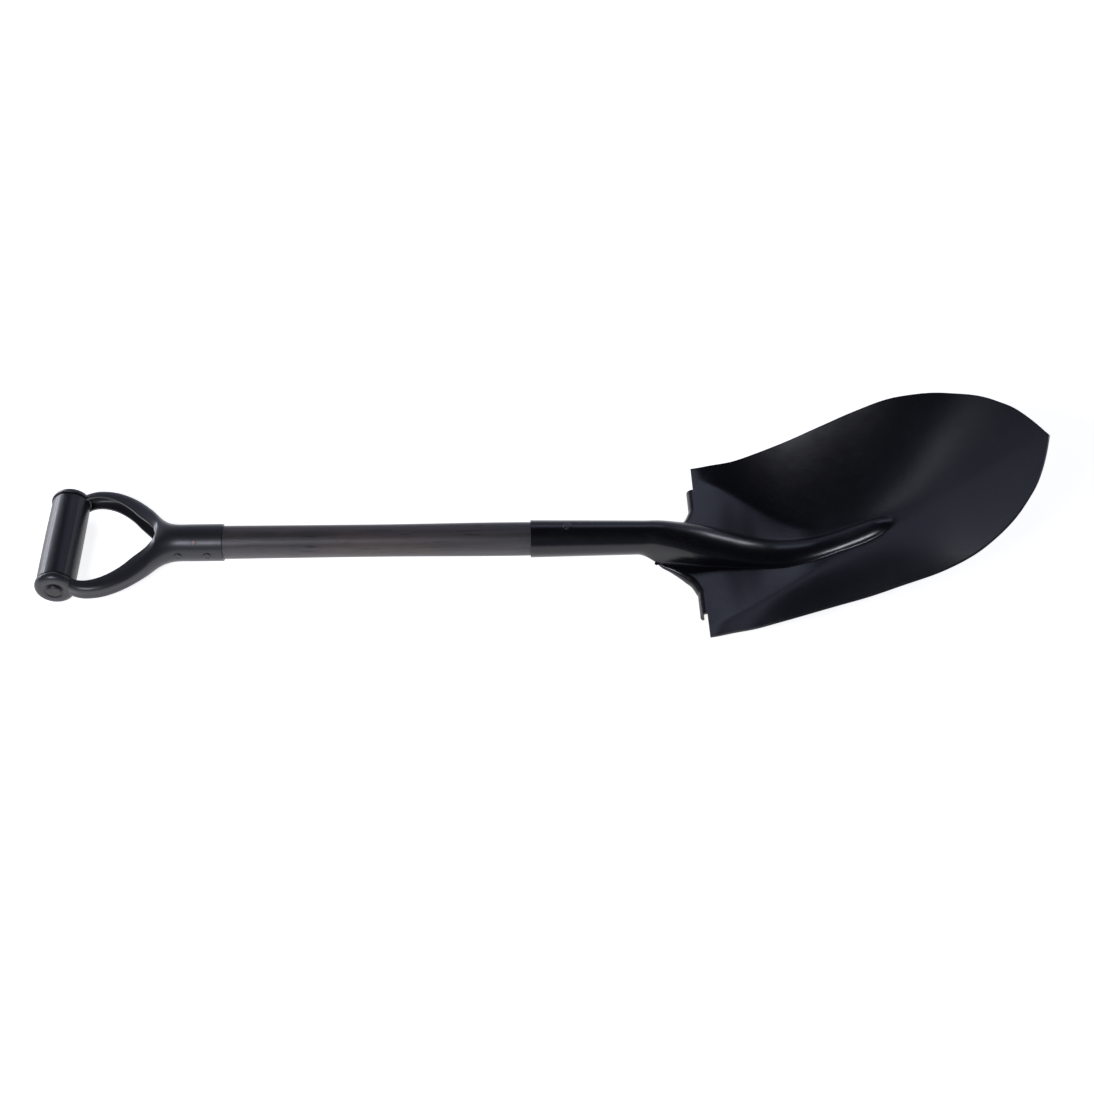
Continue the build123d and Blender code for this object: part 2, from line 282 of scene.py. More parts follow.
def half_sections(x):
    """Right half of the blade's mid-surface at each x: out from the crest of the frog, down its flank,
    along the pan to the fold line's width, then to the step's end, then to the side."""
    x = np.asarray(x, float)
    level, curve = through(PAN, x, 1)[:, None], through(PAN, x, 2)[:, None]
    middle, half_w, half_h = (through(FROG, x, k)[:, None] for k in (1, 2, 3))
    side = np.where(x <= REAR_X, REAR_HALF, np.maximum(through(SIDE, x), 0.0))[:, None]
    half_w = np.minimum(half_w, FROG_SHARE * side)
    neck = through(NECK, np.minimum(x, REAR_X))[:, None]
    share = side / REAR_HALF
    fold = np.where(x[:, None] <= REAR_X, neck, STEP_FOLD * share)
    foot = half_w + np.minimum(FROG_FOOT, 0.5 * (fold - half_w))
    flat = through(PAN, x, 3)[:, None]

    def pan(y):
        outward = np.clip((np.abs(y) - flat) / np.maximum(side - flat, FOLD_LEAST), 0.0, 1.0)
        walls = side * side * outward ** FOLD_BEND
        return level + curve * (y * y + FOLD_SHARE * (walls - y * y))

    angle = np.linspace(0, np.pi / 2, 90)[None, :]
    y_arch = half_w * np.sin(angle)
    z_arch = np.maximum(middle + half_h * np.cos(angle), pan(y_arch))
    t = np.linspace(0, 1, 40)[None, :]
    y_leg = half_w + 0 * t
    top = np.maximum(middle, pan(half_w))
    z_leg = top + (pan(half_w) - top) * t
    y_foot = half_w + (foot - half_w) * t
    frog = np.stack([np.concatenate([y_arch, y_leg, y_foot], 1),
                     np.concatenate([z_arch, z_leg, pan(y_foot)], 1)], -1)
    frog = uniform(soften(uniform(frog, 260), FROG_ROUND), INNER + 1)
    cut = frog[:, -1, 0][:, None]
    step_end = STEP_OUTER * share
    y_middle = cut + (fold - cut) * np.linspace(0, 1, MIDDLE + 1)[None, 1:]
    y_step = fold + (step_end - fold) * np.linspace(0, 1, STEP + 1)[None, 1:]
    y_side = step_end + (side - step_end) * np.linspace(0, 1, SIDEWAYS + 1)[None, 1:]
    y_rest = np.concatenate([y_middle, y_step, y_side], 1)
    rest = np.stack([y_rest, pan(y_rest)], -1)
    return np.concatenate([frog, rest], 1)


def socket_sections(x):
    """Right half of the rolled socket at each x: round from the front to the seam at the back."""
    x = np.asarray(x, float)
    t = np.clip((x - SOCKET_MOUTH) / (SOCKET_END - SOCKET_MOUTH), 0, 1.1)
    radius = (SOCKET_R[0] + (SOCKET_R[1] - SOCKET_R[0]) * t - SOCKET_WALL / 2)[:, None]
    inner = np.linspace(0, 112.0, INNER + 1)
    outer = np.linspace(112.0, SEAM_ANGLE, MIDDLE + 1)[1:]
    angle = np.radians(np.concatenate([inner, outer]))[None, :]
    return np.stack([radius * np.sin(angle), radius * np.cos(angle)], -1)


def blade_mesh():
    """The blade's one sheet as a grid: rows along the shovel, columns out from its middle line.  The
    socket's round section unrolls into the neck between two stations.  The neck's rows stop at the
    fold line, and the roll is carried along that line and the rear edge."""
    neck_x = np.concatenate([np.linspace(SOCKET_MOUTH, 78, 24), np.linspace(80, REAR_X, 42)])
    t = np.linspace(0, 1, 118)[1:]
    pan_x = REAR_X + (TIP_X - REAR_X) * (1.12 * t - 0.12 * t ** 3)
    x = np.concatenate([neck_x, pan_x])
    flat = half_sections(np.maximum(x, 84.0))
    narrow = INNER + MIDDLE + 1
    round_part = socket_sections(x)
    mix = ease((x - UNROLL[0]) / UNROLL[1])[:, None, None]
    flat[:, :narrow] = (1 - mix) * round_part + mix * flat[:, :narrow]
    rows, columns = flat.shape[:2]
    right = np.concatenate([np.broadcast_to(x[:, None, None], (rows, columns, 1)), flat], -1)
    left = right[:, :0:-1] * np.array([1.0, -1.0, 1.0])
    sheet = np.concatenate([left, right], 1)
    # even out the steps along the shovel where the frog ends
    height = sheet[..., 2]
    blend = (ease((x - FROG_FADE_IN[0]) / FROG_FADE_IN[1])
             * (1 - ease((x - FROG_FADE_OUT[0]) / FROG_FADE_OUT[1])))
    for _ in range(3):
        mean = height.copy()
        mean[1:-1] = (height[:-2] + 2 * height[1:-1] + height[2:]) / 4
        height += blend[:, None] * (mean - height)
    faces = grid_faces(rows, 2 * columns - 1)
    row = faces[:, 0] // (2 * columns - 1)
    column = np.abs(faces % (2 * columns - 1) - (columns - 1)).max(1)
    keep = (row >= len(neck_x) - 1) | (column < narrow)
    faces = faces[keep]
    points = sheet.reshape(-1, 3)
    # rolled edge: along the neck's fold line, then along the rear edge to the step's end
    first = int(np.searchsorted(neck_x, LIP_START))
    rear = len(neck_x) - 1
    chain = np.concatenate([
        right[first:rear, narrow - 1],
        right[rear, narrow - 1:INNER + MIDDLE + STEP + 1],
    ])
    chain_x = chain[:, 0]
    tangent = np.gradient(chain[:, :2], axis=0)
    tangent /= np.linalg.norm(tangent, axis=1)[:, None]
    outward = np.stack([-tangent[:, 1], tangent[:, 0], 0 * chain_x], -1)
    roll = (STEP_ROLL * ease((chain_x - LIP_GROWTH[0]) / LIP_GROWTH[1]))[:, None, None]
    angle = np.radians(np.linspace(0, STEP_TURN, 14))[None, :, None]
    lip = chain[:, None, :] + roll * (
        np.sin(angle) * outward[:, None, :] - (1 - np.cos(angle)) * np.array([0.0, 0.0, 1.0])
    )
    lip_faces = grid_faces(len(chain), 14)
    for mirror in (np.ones(3), np.array([1.0, -1.0, 1.0])):
        faces = np.concatenate([faces, lip_faces + len(points)])
        points = np.concatenate([points, (lip * mirror).reshape(-1, 3)])
    used, index = np.unique(faces, return_inverse=True)
    return points[used], index.reshape(faces.shape)


def finish_sheet(obj, thickness, bevel):
    """Gives a mid-surface its thickness, and rounds the sheet's edges."""
    wall = obj.modifiers.new("wall", "SOLIDIFY")
    wall.thickness = thickness * MM
    wall.offset = 0.0
    wall.use_even_offset = True
    edge = obj.modifiers.new("edge", "BEVEL")
    edge.width = bevel * MM
    edge.segments = 3
    edge.limit_method = "ANGLE"
    edge.angle_limit = math.radians(50)
    edge.harden_normals = True


def build_blade(thickness, edge):
    """Makes the blade."""
    points, faces = blade_mesh()
    obj = new_piece("blade_sheet", points, faces)
    weld(obj)
    finish_sheet(obj, thickness, edge)
    return obj


# ---- shaft ----

# Wood: station along the shaft and radius.
SHAFT = np.array([
    (-337.0, 15.0),
    (-292.5, 15.0),
    (-150.0, 14.7),
    (-15.0, 15.25),
    (40.0, 14.45),
    (88.0, 13.75),
    (96.0, 13.5),
    (104.0, 12.1),
])


def build_shaft():
    """Round wood: the radius runs smoothly through its stations, with a flat end at each side."""
    (head, head_r), (tail, tail_r) = SHAFT[0], SHAFT[-1]
    x = np.concatenate([[head, head, head + 1], np.linspace(head + 7, SOCKET_MOUTH, 70),
                        np.linspace(SOCKET_MOUTH + 1, tail - 1.5, 20), [tail, tail]])
    radius = through(SHAFT, x)
    radius[:2] = (0.0, head_r - 1.0)
    radius[-2:] = (tail_r - 0.7, 0.0)
    return lathe("shaft_wood", np.stack([x, radius], -1), "X", turns=128)


# ---- yoke ----

YOKE_WALL = 1.8
# Hollow along an arm's outer side: the row where it starts, over how many rows it deepens, and its
# half-width.
GROOVE_START, GROOVE_ROWS, GROOVE_HALF = 5.5, 3.0, 3.6
# One half of the yoke's sheet, from the sleeve's end to the cup: where its outer side runs (X, Y),
# where its free edge runs (X, Y), half its height, and how square its section is.
YOKE = np.array([
    (0, -292.5, 16.8, -292.5, 0.0, 16.8, 2.0),
    (1, -318.0, 16.8, -318.0, 0.0, 16.8, 2.0),
    (2, -334.0, 16.9, -335.0, 0.0, 16.8, 2.0),
    (3, -343.0, 20.2, -344.5, 0.0, 16.2, 2.1),
    (4, -349.6, 25.6, -350.6, 0.0, 14.9, 2.3),
    (5, -354.0, 30.2, -351.6, 0.0, 13.4, 2.6),
    (6, -358.0, 34.8, -354.2, 6.6, 12.0, 2.8),
    (7, -362.2, 39.2, -360.2, 15.4, 10.8, 2.9),
    (8, -367.4, 44.4, -369.8, 25.0, 9.7, 3.0),
    (9, -374.2, 49.8, -378.2, 34.2, 9.0, 3.1),
    (10, -383.6, 55.3, -387.2, 41.8, 8.7, 3.2),
    (11, -394.0, 59.4, -396.0, 47.2, 8.6, 3.2),
    (12, -404.0, 61.0, -404.6, 50.2, 8.5, 3.2),
    (13, -412.8, 60.6, -411.6, 50.8, 8.5, 3.2),
    (14, -420.4, 58.0, -417.4, 49.6, 8.6, 3.0),
    (15, -427.6, 54.0, -421.4, 46.8, 8.6, 2.8),
])


def yoke_mesh(groove):
    """The yoke's sheet as a grid.  A row is an arch that goes from the free edge over the outer side
    and back under: a rounded box whose corners follow cos and sin to the power of two over its
    squareness.  On the arms the outer side sinks by the groove's depth along its middle."""
    s = np.linspace(0, 15, 151)
    outer_x, outer_y, edge_x, edge_y, half, square = (
        through(YOKE, s, k)[:, None] for k in range(1, 7)
    )
    edge_y = np.where(s[:, None] <= 5.0, 0.0, np.maximum(edge_y, 0.0))
    half = half - YOKE_WALL / 2
    angle = np.linspace(-np.pi / 2, np.pi / 2, 57)[None, :]
    across = np.abs(np.cos(angle)) ** (2 / square)
    across[:, [0, -1]] = 0.0
    z = half * np.sign(np.sin(angle)) * np.abs(np.sin(angle)) ** (2 / square)
    reach = np.hypot(outer_x - edge_x, outer_y - edge_y)
    sunk = (groove * ease((s[:, None] - GROOVE_START) / GROOVE_ROWS)
            * np.exp(-((z / GROOVE_HALF) ** 2)))
    length = (reach - YOKE_WALL / 2 - sunk) / reach
    x = edge_x + (outer_x - edge_x) * across * length
    y = edge_y + (outer_y - edge_y) * across * length
    half_sheet = np.stack([x, y, z], -1)
    rows, columns = z.shape
    faces = grid_faces(rows, columns)
    points = half_sheet.reshape(-1, 3)
    mirrored = points * np.array([1.0, -1.0, 1.0])
    return np.concatenate([points, mirrored]), np.concatenate([faces, faces[:, ::-1] + len(points)])


def build_yoke(groove):
    """Makes the yoke's sleeve, neck and arms."""
    points, faces = yoke_mesh(groove)
    obj = new_piece("yoke_sheet", points, faces)
    weld(obj)
    finish_sheet(obj, YOKE_WALL, 0.45)
    return obj


# Cup: its open rim and its face, out from the middle, its radius, its corner and its wall; then the
# dish for the rod's head, with its depth and its radius at the face and at its floor.
CUP_RIM, CUP_FACE, CUP_R, CUP_CORNER, CUP_WALL = 49.1, 55.6, 17.9, 5.4, 1.7
DISH_DEPTH, DISH_R, DISH_FLOOR_R = 1.4, 9.9, 7.3


def build_cups():
    """Cup on each arm's end: a closed outline turned about the grip's axis.  Its corner is a quarter
    circle, and its face sinks by a half wave of the cosine into the dish for the rod's head."""
    corner = np.linspace(0, np.pi / 2, 11)
    slope = np.linspace(0, 1, 9)
    wave = (1 - np.cos(np.pi * slope)) / 2
    bend_y, bend_r = CUP_FACE - CUP_CORNER, CUP_R - CUP_CORNER
    inner = CUP_CORNER - CUP_WALL
    dish_floor = CUP_FACE - DISH_DEPTH
    floor_back = dish_floor - CUP_WALL
    outside = [(CUP_RIM, CUP_R - 0.9), (CUP_RIM, CUP_R - 0.5), (CUP_RIM + 0.5, CUP_R - 0.05),
               (CUP_RIM + 0.9, CUP_R)]
    outside += list(zip(bend_y + CUP_CORNER * np.sin(corner), bend_r + CUP_CORNER * np.cos(corner)))
    outside += list(zip(CUP_FACE - DISH_DEPTH * wave, DISH_R - (DISH_R - DISH_FLOOR_R) * slope))
    outside += [(dish_floor, 4.0), (dish_floor, 0.0)]
    inside = [(floor_back, 0.0), (floor_back, DISH_FLOOR_R + 0.3), (CUP_FACE - 1.8, DISH_R + 0.1),
              (CUP_FACE - CUP_WALL, bend_r - 0.5)]
    inside += list(zip(bend_y + inner * np.cos(corner), bend_r + inner * np.sin(corner)))
    inside += [(CUP_RIM + 0.5, CUP_R - 1.6), (CUP_RIM, CUP_R - 0.9)]
    outline = np.array(outside + inside)
    return [lathe(name, outline * (side, 1), "Y", (GRIP_X, 0, 0), 112)
            for name, side in (("grip_cup_left", 1), ("grip_cup_right", -1))]


# ---- grip ----


# Grip: half the length of its body, its radius there and how much it swells to the middle, and half
# its whole length; its bore; then the number of lines along it and how wide each is.
GRIP_BODY, GRIP_R, GRIP_SWELL, GRIP_HALF = 47.6, 17.0, 0.25, 51.9
GRIP_BORE_R = 3.55
GRIP_LINES, GRIP_LINE_WIDTH = 6, 0.09


def build_grip(groove):
    """Moulded tube: a closed outline turned about its axis, bored for the rod, with shallow lines sunk
    along it at even angles and a slight swell to the middle."""
    y = np.linspace(-GRIP_BODY, GRIP_BODY, 60)
    swell = GRIP_R + GRIP_SWELL * (1 - (y / GRIP_BODY) ** 2)
    half_end = [(48.2, 16.7), (48.3, 15.9), (50.6, 15.8), (51.8, 14.8), (GRIP_HALF, 13.0),
                (GRIP_HALF, GRIP_BORE_R)]
    low_end = [(-a, r) for a, r in reversed(half_end)]
    outline = np.array(low_end + list(zip(y, swell)) + half_end + [(-GRIP_HALF, GRIP_BORE_R)])
    turns = 180
    angle = np.linspace(0, 2 * np.pi, turns, endpoint=False)[None, :]
    lines = np.exp(-((np.mod(angle * GRIP_LINES / np.pi, 2.0) - 1.0) / GRIP_LINE_WIDTH) ** 2)
    body = (np.abs(outline[:, :1]) < GRIP_BODY - 0.6) & (outline[:, 1:] > 10)
    return lathe("grip_moulding", outline, "Y", (GRIP_X, 0, 0), turns, -groove * lines * body)


# ---- finishes ----


def add(tree, kind, settings=None, **inputs):
    """A node with its settings, and with each input set or linked."""
    node = tree.nodes.new(kind)
    for key, value in (settings or {}).items():
        setattr(node, key, value)
    for key, value in inputs.items():
        socket = node.inputs[key.replace("_", " ")]
        if isinstance(value, bpy.types.NodeSocket):
            tree.links.new(value, socket)
        else:
            socket.default_value = value
    return node


def plug(tree, node, index, value):
    """Sets or links one input by its number."""
    if isinstance(value, bpy.types.NodeSocket):
        tree.links.new(value, node.inputs[index])
    else:
        node.inputs[index].default_value = value


def mix_colour(tree, share, low, high):
    """Blend of two colours."""
    node = add(tree, "ShaderNodeMix", {"data_type": "RGBA"})
    for index, value in ((0, share), (6, low), (7, high)):
        plug(tree, node, index, value)
    return node.outputs[2]


def mix_value(tree, share, low, high):
    """Blend of two numbers."""
    node = add(tree, "ShaderNodeMix", {"data_type": "FLOAT"})
    for index, value in ((0, share), (2, low), (3, high)):
        plug(tree, node, index, value)
    return node.outputs[0]


def sum_of(tree, operation, a, b):
    """One arithmetic step on two numbers."""
    node = add(tree, "ShaderNodeMath", {"operation": operation})
    plug(tree, node, 0, a)
    plug(tree, node, 1, b)
    return node.outputs[0]


def rise(tree, value, low, high):
    """Smooth rise from 0 at low to 1 at high."""
    node = add(tree, "ShaderNodeMapRange", {"interpolation_type": "SMOOTHSTEP"},
               Value=value, From_Min=low, From_Max=high)
    return node.outputs[0]


def new_group(name, inputs, outputs):
    """An empty node group with float inputs (name, default) and named outputs."""
    tree = bpy.data.node_groups.new(name, "ShaderNodeTree")
    for label, value in inputs:
        socket = tree.interface.new_socket(label, in_out="INPUT", socket_type="NodeSocketFloat")
        socket.default_value = value
    for label in outputs:
        tree.interface.new_socket(label, in_out="OUTPUT", socket_type="NodeSocketFloat")
    return tree, tree.nodes.new("NodeGroupInput").outputs, tree.nodes.new("NodeGroupOutput").inputs


def grain_group():
    """Cloudy and fine variation: noise on Object coordinates stretched by the length and width
    inputs, once coarse and once fine."""
    tree, given, result = new_group(
        "surface_grain", [("Along", 10.0), ("Across", 10.0), ("Detail", 6.0)], ["Clouds", "Fine"])
    where = add(tree, "ShaderNodeTexCoord").outputs["Object"]
    scale = add(tree, "ShaderNodeCombineXYZ", X=given["Along"], Y=given["Across"],
                Z=given["Across"]).outputs[0]
    spread = add(tree, "ShaderNodeVectorMath", {"operation": "MULTIPLY"})
    tree.links.new(where, spread.inputs[0])
    tree.links.new(scale, spread.inputs[1])
    clouds = add(tree, "ShaderNodeTexNoise", Vector=spread.outputs[0], Scale=1.0,
                 Detail=given["Detail"], Roughness=0.55)
    fine = add(tree, "ShaderNodeTexNoise", Vector=spread.outputs[0], Scale=7.0,
               Detail=given["Detail"], Roughness=0.65)
    tree.links.new(clouds.outputs[0], result["Clouds"])
    tree.links.new(fine.outputs[0], result["Fine"])
    return tree


def edge_highlight_group():
    """Painted highlight along edges: how pointed the surface is, between two limits, broken up by noise.
    """
    tree, given, result = new_group(
        "edge_highlight", [("Start", 0.52), ("Full", 0.60), ("Breakup", 90.0)], ["Mask"])
    point = add(tree, "ShaderNodeNewGeometry").outputs["Pointiness"]
    where = add(tree, "ShaderNodeTexCoord").outputs["Object"]
    noise = add(tree, "ShaderNodeTexNoise", Vector=where, Scale=given["Breakup"], Detail=4.0)
    edge = rise(tree, point, given["Start"], given["Full"])
    broken = rise(tree, noise.outputs[0], 0.38, 0.62)
    tree.links.new(sum_of(tree, "MULTIPLY", edge, broken), result["Mask"])
    return tree


def dust_group():
    """Fine dust: noise in patches, only where the surface faces up."""
    tree, given, result = new_group("settled_dust", [("Amount", 0.1), ("Patches", 9.0)], ["Mask"])
    normal = add(tree, "ShaderNodeNewGeometry").outputs["Normal"]
    up = add(tree, "ShaderNodeSeparateXYZ", Vector=normal).outputs["Z"]
    where = add(tree, "ShaderNodeTexCoord").outputs["Object"]
    patch = add(tree, "ShaderNodeTexNoise", Vector=where, Scale=given["Patches"], Detail=5.0)
    speck = add(tree, "ShaderNodeTexNoise", Vector=where, Scale=420.0, Detail=2.0)
    mask = sum_of(tree, "MULTIPLY", rise(tree, up, 0.2, 0.95), rise(tree, patch.outputs[0], 0.4, 0.7))
    mask = sum_of(tree, "MULTIPLY", mask, rise(tree, speck.outputs[0], 0.45, 0.75))
    tree.links.new(sum_of(tree, "MULTIPLY", mask, given["Amount"]), result["Mask"])
    return tree


def shared(name):
    """The node group of that name, built the first time it is asked for."""
    makers = {"surface_grain": grain_group, "edge_highlight": edge_highlight_group, "settled_dust": dust_group}
    return bpy.data.node_groups.get(name) or makers[name]()


def place_group(tree, name, **inputs):
    """Puts a shared group into a material and gives its outputs."""
    node = add(tree, "ShaderNodeGroup", {"node_tree": shared(name)})
    for key, value in inputs.items():
        node.inputs[key].default_value = value
    return node.outputs


def new_finish(name, **constants):
    """A material with one Principled shader, its constants set on the shader's own sockets."""
    material = bpy.data.materials.new(name)
    material.use_nodes = True
    tree = material.node_tree
    shader = tree.nodes["Principled BSDF"]
    for key, value in constants.items():
        shader.inputs[key.replace("_", " ")].default_value = value
    return material, tree, shader


def feed(tree, shader, **inputs):
    """Links values to the shader's sockets."""
    for key, value in inputs.items():
        tree.links.new(value, shader.inputs[key.replace("_", " ")])


def bump(tree, height, strength, distance):
    """A bump's normal from a height."""
    return add(tree, "ShaderNodeBump", Height=height, Strength=strength,
               Distance=distance).outputs[0]


def shade(colour, factor):
    """A colour made lighter or darker."""
    return tuple(c * factor for c in colour[:3]) + (1.0,)


def paint_finish(colours):
    """Black semi-gloss paint: even colour with faint clouds, a fine skin, and thin pale edges that are a
    painted highlight.
    """
    material, tree, shader = new_finish("black_paint", Metallic=0.0, IOR=1.52)
    skin = place_group(tree, "surface_grain", Along=260.0, Across=260.0, Detail=2.0)
    cloud = place_group(tree, "surface_grain", Along=11.0, Across=15.0, Detail=4.0)
    edge = place_group(tree, "edge_highlight", Start=0.53, Full=0.62, Breakup=70.0)
    dust = place_group(tree, "settled_dust", Amount=0.10, Patches=14.0)
    base = mix_colour(tree, cloud["Clouds"], shade(colours.blade, 0.8), shade(colours.blade, 1.25))
    # painted highlight: the sheet's edges are lightened towards six times the paint's colour
    base = mix_colour(tree, sum_of(tree, "MULTIPLY", edge["Mask"], 0.5), base,
                      shade(colours.blade, 6.0))
    base = mix_colour(tree, dust["Mask"], base, (0.10, 0.10, 0.11, 1.0))
    rough = mix_value(tree, cloud["Fine"], 0.20, 0.30)
    feed(tree, shader, Base_Color=base, Roughness=rough,
         Normal=bump(tree, skin["Clouds"], 0.25, 0.00012))
    return material


def wood_finish(colours):
    """Stained round wood: long grain in two tones, brown near the yoke and cooler towards the
    socket, with dark pores and a thin worn sealer."""
    material, tree, shader = new_finish("stained_wood", Metallic=0.0, IOR=1.5)
    where = add(tree, "ShaderNodeTexCoord").outputs["Object"]
    along = add(tree, "ShaderNodeSeparateXYZ", Vector=where).outputs["X"]
    bands = place_group(tree, "surface_grain", Along=5.0, Across=130.0, Detail=5.0)
    pores = place_group(tree, "surface_grain", Along=26.0, Across=420.0, Detail=3.0)
    patches = place_group(tree, "surface_grain", Along=16.0, Across=34.0, Detail=4.0)
    cool = rise(tree, along, -0.20, 0.03)
    brown = sum_of(tree, "MULTIPLY", rise(tree, patches["Clouds"], 0.36, 0.66),
                   sum_of(tree, "SUBTRACT", 1.0, cool))
    base = mix_colour(tree, brown, shade(colours.wood_stain, 1.0), shade(colours.wood_brown, 1.0))
    base = mix_colour(tree, rise(tree, bands["Clouds"], 0.40, 0.68), base,
                      shade(colours.wood_stain, 1.7))
    base = mix_colour(tree, rise(tree, pores["Clouds"], 0.60, 0.72), base,
                      shade(colours.wood_stain, 0.35))
    rough = mix_value(tree, bands["Fine"], 0.34, 0.52)
    height = sum_of(tree, "ADD", bands["Fine"], sum_of(tree, "MULTIPLY", pores["Clouds"], 0.8))
    feed(tree, shader, Base_Color=base, Roughness=rough, Normal=bump(tree, height, 0.35, 0.0003))
    return material


def steel_finish(name, colour, metallic, rough_low, rough_high, edge_highlight_gain=2.2):
    """Coated or bare steel: faint clouds, fine grit in the gloss and slightly paler edges that are a
    painted highlight.
    """
    material, tree, shader = new_finish(name, Metallic=metallic, IOR=1.6)
    cloud = place_group(tree, "surface_grain", Along=26.0, Across=34.0, Detail=5.0)
    grit = place_group(tree, "surface_grain", Along=520.0, Across=520.0, Detail=2.0)
    edge = place_group(tree, "edge_highlight", Start=0.53, Full=0.64, Breakup=110.0)
    base = mix_colour(tree, cloud["Clouds"], shade(colour, 0.75), shade(colour, 1.25))
    # painted highlight: the edges are lightened by the edge highlight gain
    base = mix_colour(tree, sum_of(tree, "MULTIPLY", edge["Mask"], 0.6), base,
                      shade(colour, edge_highlight_gain))
    rough = mix_value(tree, cloud["Fine"], rough_low, rough_high)
    feed(tree, shader, Base_Color=base, Roughness=rough,
         Normal=bump(tree, grit["Clouds"], 0.10, 0.0001))
    return material


def grip_finish(colours):
    """Moulded black plastic: fine drawn lines along the grip and a slightly uneven gloss."""
    material, tree, shader = new_finish("black_moulding", Metallic=0.0, IOR=1.5)
    drawn = place_group(tree, "surface_grain", Along=900.0, Across=9.0, Detail=3.0)
    cloud = place_group(tree, "surface_grain", Along=30.0, Across=18.0, Detail=4.0)
    dust = place_group(tree, "settled_dust", Amount=0.12, Patches=30.0)
    base = mix_colour(tree, cloud["Clouds"], shade(colours.grip, 0.8), shade(colours.grip, 1.3))
    base = mix_colour(tree, dust["Mask"], base, (0.10, 0.10, 0.12, 1.0))
    rough = mix_value(tree, cloud["Fine"], 0.30, 0.46)
    feed(tree, shader, Base_Color=base, Roughness=rough,
         Normal=bump(tree, drawn["Clouds"], 0.12, 0.0002))
    return material


def dress(obj, material):
    """Gives a piece or a node its one material."""
    obj.data.materials.clear()
    obj.data.materials.append(material)


def finish_named(name, maker, *values):
    """The material of that name, made the first time it is asked for."""
    return bpy.data.materials.get(name) or maker(*values)


# ---- stage ----

# Where the view is taken from, in drawing millimetres, and how it is turned.
EYE = (-53.1589, -1080.0842, 1189.6365)
EYE_TURN, EYE_DROP, EYE_ROLL = math.radians(-2.8276), math.radians(48.0), math.radians(1.4167)
# Tint of the small lamps, and of the room and the large lamp that the blade mirrors.
COOL = (0.88, 0.89, 1.0)
BLUE = (0.68, 0.73, 1.0)
# What the lamps look at, in metres: the middle of the blade and the middle of the grip.
BLADE_AIM = (0.20, 0.0, 0.03)
GRIP_AIM = (-0.424, 0.0, 0.018)
# Room: how much of the walls' brightness is left on the viewer's side, between which directions
# across the shovel it grows, and between which heights the walls give way to the ceiling.
NEAR_SHARE = 0.35
WALL_RISE = (-0.3, 0.9)
CEILING_RISE = (0.30, 0.80)
FLOOR_REACH, FLOOR_LEVEL = 6.0, -0.0004


def eye_axes():
    """The view's right, up and backward directions in drawing axes."""
    back = np.array([math.sin(EYE_TURN) * math.cos(EYE_DROP),
                     -math.cos(EYE_TURN) * math.cos(EYE_DROP), math.sin(EYE_DROP)])
    right = np.array([math.cos(EYE_TURN), math.sin(EYE_TURN), 0.0])
    up = np.cross(back, right)
    turned = math.cos(EYE_ROLL) * right + math.sin(EYE_ROLL) * up
    raised = -math.sin(EYE_ROLL) * right + math.cos(EYE_ROLL) * up
    return np.stack([turned, raised, back])


def place_camera(lens):
    """Puts the camera at the eye point."""
    data = bpy.data.cameras.new("camera")
    data.lens = lens
    data.sensor_width = 36.0
    data.clip_end = 50.0
    camera = bpy.data.objects.new("camera", data)
    turn = Matrix((eye_axes() @ AXES).tolist()).transposed().to_4x4()
    turn.translation = place(np.array([EYE]))[0].tolist()
    camera.matrix_world = turn
    bpy.context.scene.collection.objects.link(camera)
    bpy.context.scene.camera = camera


def softbox(name, direction, distance, size, glow, colour=(1.0, 1.0, 1.0), aim=(0.0, 0.0, 0.0)):
    """Flat lamp that looks at the aim from a direction; the glow is its brightness when seen."""
    data = bpy.data.lights.new(name, "AREA")
    data.shape = "RECTANGLE"
    data.size, data.size_y = size
    data.energy = glow * math.pi * size[0] * size[1]
    data.color = colour
    lamp = bpy.data.objects.new(name, data)
    toward = Vector(direction).normalized()
    lamp.matrix_world = Matrix.Translation(Vector(aim) + toward * distance) @ (
        toward.to_track_quat("Z", "Y").to_matrix().to_4x4())
    lamp.visible_camera = False
    bpy.context.scene.collection.objects.link(lamp)


def build_room(walls, ceiling):
    """Room light: pale low down and beyond the shovel, dimmer on the viewer's side, dark overhead."""
    world = bpy.data.worlds.new("room")
    world.use_nodes = True
    tree = world.node_tree
    where = add(tree, "ShaderNodeTexCoord").outputs["Generated"]
    facing = add(tree, "ShaderNodeSeparateXYZ", Vector=where).outputs
    low_down = mix_value(tree, rise(tree, facing["Y"], *WALL_RISE), NEAR_SHARE * walls, walls)
    strength = mix_value(tree, rise(tree, facing["Z"], *CEILING_RISE), low_down, ceiling)
    shell = tree.nodes["Background"]
    shell.inputs["Color"].default_value = BLUE + (1.0,)
    tree.links.new(strength, shell.inputs["Strength"])
    bpy.context.scene.world = world


def build_floor(glow):
    """Plain pale floor, a little self-lit so that it stays even."""
    mesh = bpy.data.meshes.new("floor")
    corners = [(x * FLOOR_REACH, y * FLOOR_REACH, FLOOR_LEVEL)
               for x, y in ((-1, -1), (1, -1), (1, 1), (-1, 1))]
    mesh.from_pydata(corners, [], [(0, 1, 2, 3)])
    floor = bpy.data.objects.new("floor", mesh)
    bpy.context.scene.collection.objects.link(floor)
    material, tree, shader = new_finish(
        "pale_floor", Base_Color=(0.86, 0.86, 0.87, 1.0), Roughness=0.9,
        Emission_Color=(1.0, 1.0, 1.0, 1.0), Emission_Strength=glow)
    shader.inputs["Specular IOR Level"].default_value = 0.1
    mesh.materials.append(material)


# ---- the add-on ----


def size(name, text, default, low, high):
    """A length setting in millimetres."""
    return FloatProperty(name=name, description=text, default=default, min=low, max=high, unit="NONE")


def colour(name, text, default):
    """A colour setting."""
    return FloatVectorProperty(name=name, description=text, default=default, size=3, min=0.0,
                               max=1.0, subtype="COLOR")


def glow(name, text, default):
    """A brightness setting."""
    return FloatProperty(name=name, description=text, default=default, min=0.0, max=100.0)


